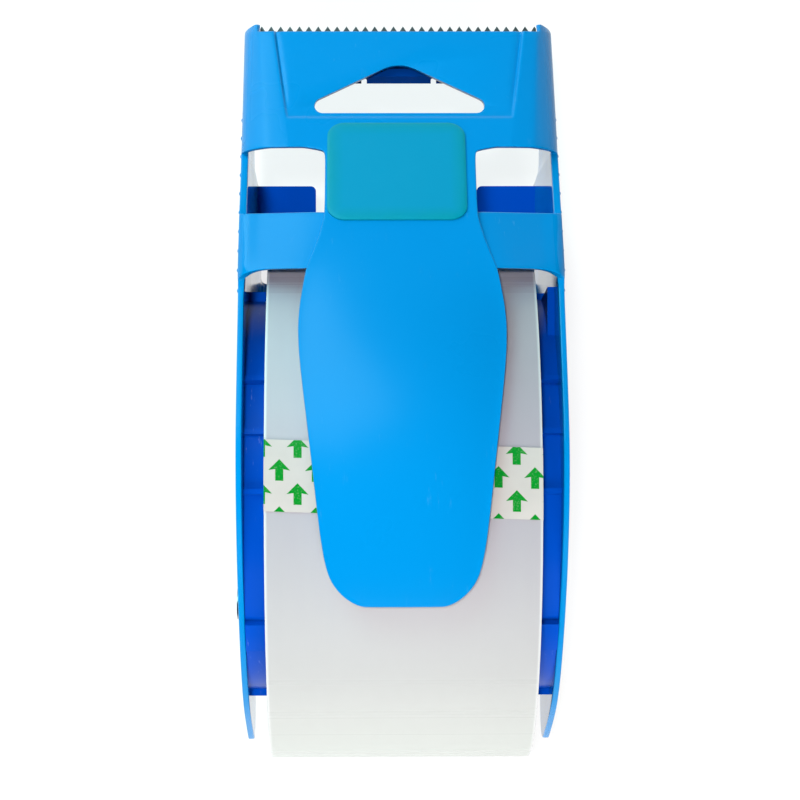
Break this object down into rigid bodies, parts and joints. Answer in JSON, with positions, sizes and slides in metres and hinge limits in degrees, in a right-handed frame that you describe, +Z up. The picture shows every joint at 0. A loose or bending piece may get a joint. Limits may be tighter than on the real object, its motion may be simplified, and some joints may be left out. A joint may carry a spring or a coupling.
{
  "type": "packing tape dispenser",
  "caption": "One-handed saddle-shaped packing tape dispenser with a palm grip, a toothed cutting blade at the nose and a roll of tape that turns on two side hubs.",
  "frame": {"origin": "middle of the footprint at the level of the feet, halfway between the ear tips in front and the back of the roll", "axes": "+X across to the right seen from above with the blade ahead, +Y forward to the blade, +Z up"},
  "size_m": [0.0604, 0.139, 0.1065],
  "materials": {
    "shell_plastic": "smooth moulded light blue plastic",
    "pad_rubber": "soft satin teal pad",
    "hub_plastic": "smooth moulded dark blue plastic",
    "screw_steel": "zinc plated steel",
    "blade_steel": "cut and ground steel",
    "core_board": "spiral wound cardboard",
    "tape_film": "wound clear film, milky where it is thick",
    "tab_film": "white film printed with small green arrows"
  },
  "bodies": {
    "frame": {"top_shell": "shell_plastic", "thumb_pad": "pad_rubber", "left_hub": "hub_plastic", "right_hub": "hub_plastic", "hub_screws": "screw_steel", "left_guide": "hub_plastic", "right_guide": "hub_plastic", "guide_screws": "screw_steel", "nose_plate": "hub_plastic", "cutting_blade": "blade_steel"},
    "roll": {"tape_core": "core_board", "tape_roll": "tape_film", "start_tab": "tab_film"}
  },
  "joints": [
    {"name": "roll_spin", "type": "hinge", "parent": "frame", "child": "roll", "pos_m": [0, -0.02, 0.0515], "axis": [1, 0, 0], "continuous": true}
  ]
}
